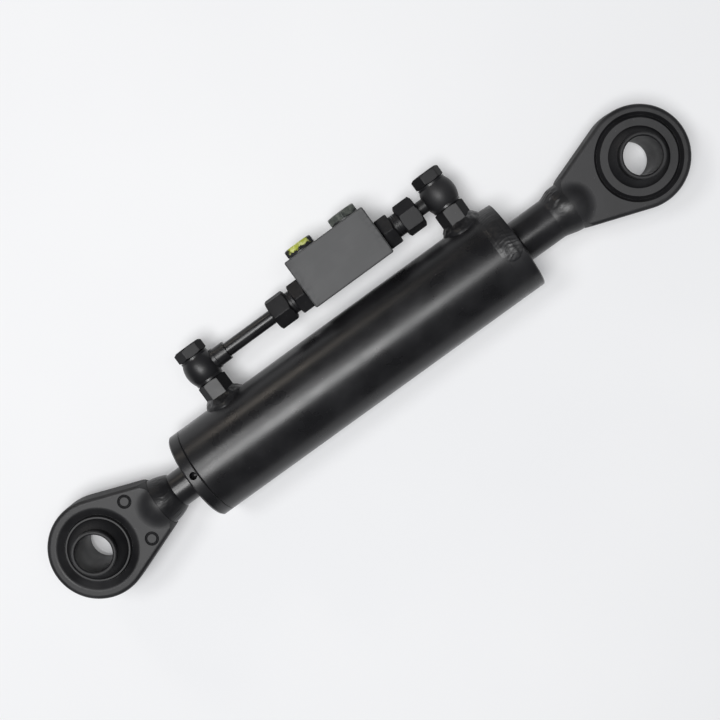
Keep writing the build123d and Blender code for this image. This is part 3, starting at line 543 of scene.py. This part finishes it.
# Welds round the link's axis
def end_cap_bead(steps=540, points=41):
    """Weld of the end cap: flush, with a broad scaled band on the valve side that ends on top in a tip."""
    x0, x1 = low("end_cap_weld", X), high("end_cap_weld", X)
    root = ((x0 + x1) / 2, barrel_radius - (x1 - x0) / 2)
    flush_margin = 1.2 * MM
    flush_start, flush_end = x0 - flush_margin, x1 + flush_margin
    proud, sunk = 0.03 * MM, -0.05 * MM
    half_band = 8.0 * MM
    band_middle = low("end_cap", X) + half_band
    band_crown = 0.75 * MM
    tip, tail = -0.2, math.pi
    round_off = half_band / barrel_radius
    pitch = 2.6 * MM
    scales = 2 * math.pi * barrel_radius / pitch
    curl, wander = 2.6, 1.5
    low_share, tip_spread = 0.45, 0.5
    crown_share, uneven = 0.75, 0.45
    dome_power = 0.7
    drift_rate, uneven_rate = 60, 90

    def band_width(angle):
        turn = (angle + math.pi / 2) % (2 * math.pi) - math.pi / 2
        inside = min(turn - tip, tail - turn)
        share = max(0.0, min(1.0, inside / round_off))
        return half_band * math.sqrt(1 - (1 - share) ** 2)

    def band_height(angle, x, across):
        dome = (1 - across**2) ** dome_power
        drift = wander * lump(angle, drift_rate * x, seed=8.0, size=12.0)
        phase = scales * angle / 2 - curl * (1 - across) + drift
        near_tip = low_share + (1 - low_share) * near_angle(angle, tip, tip_spread)
        crown = band_crown * (crown_share + uneven * lump(angle, uneven_rate * x, seed=1.0, size=9.0))
        return near_tip * dome * (crown + SCALE_DEPTH * scale_height(phase))

    def section(angle):
        width = band_width(angle)
        start, end = min(flush_start, band_middle - width), max(flush_end, band_middle + width)
        loop = []
        for k in range(points):
            x = start + (end - start) * k / (points - 1)
            radius = barrel_radius + (proud if flush_start < x < flush_end else sunk)
            across = abs(x - band_middle) / width if width else 1.0
            if across < 1:
                radius += band_height(angle, x, across) * width / half_band
            loop.append(around_link(angle, x, radius))
        loop.append(around_link(angle, *root))
        return loop

    verts, faces = swept_ring(section, steps)
    piece = place_mesh("end_cap_bead", verts, faces, weld_paint, "barrel")
    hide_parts("end_cap_weld")


def bead_ring(name, node, body, feet, corner, crown, ripple, rise, pitch, seed, points, steps=360):
    """Weld bead round the link's axis.

    feet gives the (x, radius) of the bead's two edges, and corner that of the point under it. crown and
    ripple give the bead's height and the depth of its scales at an angle. rise gives the share of the way
    from the first radius to the second at a share of the bead's width."""
    (x0, r0), (x1, r1) = feet
    scales = round(2 * math.pi * max(r0, r1) / pitch)
    curl, wander = 2.2, 2.0
    slope = Vector((r0 - r1, x1 - x0)).normalized()

    def section(angle):
        loop = []
        for k in range(points):
            share = k / (points - 1)
            bow = math.sin(math.pi * share) ** 2
            phase = scales * angle / 2 + curl * bow + wander * lump(angle, share, seed, size=5.0)
            rough = scale_height(phase) + lump(angle, share, seed, size=7.0)
            height = bow * (crown(angle) + ripple(angle) * rough)
            x = x0 + (x1 - x0) * share + slope.x * height
            loop.append(around_link(angle, x, r0 + (r1 - r0) * rise(share) + slope.y * height))
        loop.append(around_link(angle, *corner))
        return loop

    verts, faces = swept_ring(section, steps)
    piece = place_mesh(name, verts, faces, weld_paint, body)
    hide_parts(node)


def stem_bead():
    """Fillet weld of the stem on the cap."""
    start, end = low("stem_weld", X), high("stem_weld", X)
    leg = end - start
    bead_ring(
        "stem_bead",
        "stem_weld",
        "barrel",
        feet=((start, stem_radius), (end, stem_radius + leg)),
        corner=(end, stem_radius),
        crown=lambda angle: 0.3 * MM,
        ripple=lambda angle: 0.25 * MM,
        rise=lambda share: share,
        pitch=2.4 * MM,
        seed=2.0,
        points=9,
    )


def rear_eye_bead():
    """Weld of the barrel-end eye: scaled and heavier on the valve side."""
    start, end = low("rear_eye_weld", X), high("rear_eye_weld", X)
    eye_sunk, stem_sunk = 0.1 * MM, 0.05 * MM
    least_crown, more_crown = 0.1 * MM, 1.1 * MM
    least_ripple, more_ripple = 0.02 * MM, 0.5 * MM
    bead_ring(
        "rear_eye_bead",
        "rear_eye_weld",
        "barrel",
        feet=((start, half_width("rear_eye", Z) - eye_sunk), (end, stem_radius - stem_sunk)),
        corner=(start, stem_radius),
        crown=lambda angle: least_crown + more_crown * near_angle(angle, centre=1.1, spread=0.8),
        ripple=lambda angle: least_ripple + more_ripple * near_angle(angle, centre=0.95, spread=0.55),
        rise=lambda share: share * share * (3 - 2 * share),
        pitch=4.2 * MM,
        seed=3.0,
        points=25,
    )


def rod_eye_bead():
    """Weld of the rod-end eye, which climbs steeply from the rod."""
    start, end = low("rod_eye_weld", X), high("rod_eye_weld", X)
    rod_sunk = 0.1 * MM
    bead_ring(
        "rod_eye_bead",
        "rod_eye_weld",
        "rod",
        feet=((start, rod_radius - rod_sunk), (end, half_width("rod_eye_weld", Z))),
        corner=(end, rod_radius),
        crown=lambda angle: 0.0,
        ripple=lambda angle: 0.12 * MM,
        rise=lambda share: share**0.6,
        pitch=3.0 * MM,
        seed=4.0,
        points=21,
    )


# Welds of the bosses, threads of the adapters and springs of the valve
def boss_bead(side, seed, steps=300, points=11):
    """Fillet bead between a hexagon boss and the barrel, following the barrel's curve."""
    port_x = middle(f"{side}_port_boss", X)
    flat = half_width(f"{side}_port_boss", Z)
    rise, top_uneven = 4.8 * MM, 0.15
    reach, more_reach, foot_uneven = 5.4 * MM, 1.6 * MM, 0.2
    toe_height, toe_power = 0.65 * MM, 2.5
    lump_height = 0.5 * MM
    scales, curl = 14, 2.0

    def hexagon_radius(angle):
        sector = math.pi / 3
        turn = (angle + sector / 2) % sector - sector / 2
        return flat / math.cos(turn)

    def barrel_depth(z):
        """Distance from the link's axis to the barrel's skin, towards the valve, at a height."""
        return math.sqrt(barrel_radius**2 - z**2)

    def section(angle):
        # The angle is measured from +Z, where the boss has a flat and the bead reaches further out
        inner = hexagon_radius(angle)
        c, s = math.cos(angle), math.sin(angle)
        top = barrel_depth(inner * c) + rise * (1 + top_uneven * lump(angle, 0.0, seed, size=2.0))
        foot = flat + (reach + more_reach * c * c) * (1 + foot_uneven * lump(angle, 1.0, seed, size=2.2))
        loop = []
        for k in range(points):
            t = k / (points - 1)
            radius = inner + (foot - inner) * t
            depth = top + (barrel_depth(foot * c) - top) * t
            bow = math.sin(math.pi * t)
            toe = math.sin(math.pi * t**toe_power) * abs(c)
            scale = scale_height(scales * angle / 2 + curl * bow + lump(angle, t, seed, size=4.0))
            rough = SCALE_DEPTH * scale + lump_height * lump(angle, t, seed, size=3.0)
            lift = toe_height * toe + bow * rough
            loop.append((port_x + (radius + lift) * s, -(depth + lift), (radius + lift) * c))
        loop.append((port_x + inner * s, -barrel_depth(inner * c), inner * c))
        return loop

    verts, faces = swept_ring(section, steps)
    piece = place_mesh(f"{side}_boss_bead", verts, faces, weld_paint, "barrel", crease=75.0)
    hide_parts(f"{side}_boss_weld")


def thread(name, x0, x1):
    """Helical ridge on an adapter's nose, between its hexagon and the nut."""
    axis_y = middle("transfer_tube", Y)
    turns = (x1 - x0 - THREAD_PITCH) / THREAD_PITCH
    steps = int(THREAD_STEPS * turns)
    root = NOSE_RADIUS - THREAD_SUNK
    depth = THREAD_SUNK + THREAD_HEIGHT
    profile = ((-THREAD_FOOT, 0.0), (-THREAD_CREST, depth), (THREAD_CREST, depth), (THREAD_FOOT, 0.0))
    verts, faces = [], []
    for i in range(steps + 1):
        share = i / steps
        angle = 2 * math.pi * turns * share
        fade = min(1.0, share / THREAD_RUN_OUT, (1 - share) / THREAD_RUN_OUT)
        for along, height in profile:
            radius = root + height * fade
            x = x0 + THREAD_PITCH * (0.5 + turns * share) + along
            verts.append((x, axis_y - radius * math.sin(angle), radius * math.cos(angle)))
    count = len(profile)
    for i in range(steps):
        for j in range(count):
            a, b = i * count + j, i * count + (j + 1) % count
            faces.append((a, b, b + count, a + count))
    faces.append(tuple(range(count)))
    faces.append(tuple(reversed(range(steps * count, (steps + 1) * count))))
    place_mesh(name, verts, faces, black_paint, "barrel")


def check_coil(side):
    """Spring of a check valve: a copy of its solid's mesh that rides on the barrel, in place of the hidden
    solid.
    """
    node = f"{side}_check_spring"
    piece = bpy.data.objects.new(f"{side}_check_coil", nodes[node].data.copy())
    bpy.context.scene.collection.objects.link(piece)
    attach(piece, "barrel")
    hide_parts(node)
    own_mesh(piece)


end_cap_bead()
stem_bead()
rear_eye_bead()
rod_eye_bead()
boss_bead("front", seed=5.0)
boss_bead("rear", seed=6.0)
thread("front_thread", high("valve_block", X) + HEXAGON_LENGTH, low("tube_nut", X))
thread("rear_thread", high("swivel_nut", X), low("valve_block", X) - HEXAGON_LENGTH)
check_coil("front")
check_coil("rear")

# Floor, at the lowest point of the link
bpy.ops.mesh.primitive_plane_add(size=FLOOR_SIZE, location=(link_middle, 0.0, cad_bounds[0][Z]))
floor = bpy.context.object
floor.name = "floor"
floor.data.materials.append(pale_floor())

# Dim sky all round
world = bpy.data.worlds.new("sky")
bpy.context.scene.world = world
world.use_nodes = True
sky = world.node_tree.nodes["Background"]
sky.inputs["Color"].default_value = (*SKY_COLOUR, 1.0)
sky.inputs["Strength"].default_value = SKY_STRENGTH


def soft_lamp(name, place, length, width, power, colour=WHITE):
    """Oval lamp that faces the middle of the link."""
    data = bpy.data.lights.new(name, "AREA")
    data.shape = "ELLIPSE"
    data.size = width
    data.size_y = length
    data.energy = power
    data.color = colour
    lamp = bpy.data.objects.new(name, data)
    lamp.location = place
    facing = Vector((link_middle, 0.0, 0.0)) - Vector(place)
    lamp.rotation_euler = facing.to_track_quat("-Z", "Y").to_euler()
    bpy.context.scene.collection.objects.link(lamp)


# Lamps: one overhead, weaker ones past the rod end and the barrel end, and a warm one low on the valve side
soft_lamp("overhead", place=(0.52, 0.0, 2.2), length=1.0, width=0.85, power=36.0)
soft_lamp("front", place=(0.85, -0.75, 2.0), length=0.6, width=0.6, power=10.0)
soft_lamp("rear", place=(-0.35, 0.08, 2.1), length=0.6, width=0.5, power=3.0)
soft_lamp("side", place=(0.6, -2.2, 0.85), length=0.6, width=0.5, power=4.0, colour=WARM)

# Camera
camera_data = bpy.data.cameras.new("camera")
camera_data.lens = CAMERA_LENS
camera_data.sensor_width = SENSOR_WIDTH
camera = bpy.data.objects.new("camera", camera_data)
camera.location = CAMERA_PLACE
camera.rotation_euler = CAMERA_TURN
bpy.context.scene.collection.objects.link(camera)
bpy.context.scene.camera = camera
bpy.context.scene.view_settings.view_transform = "Standard"
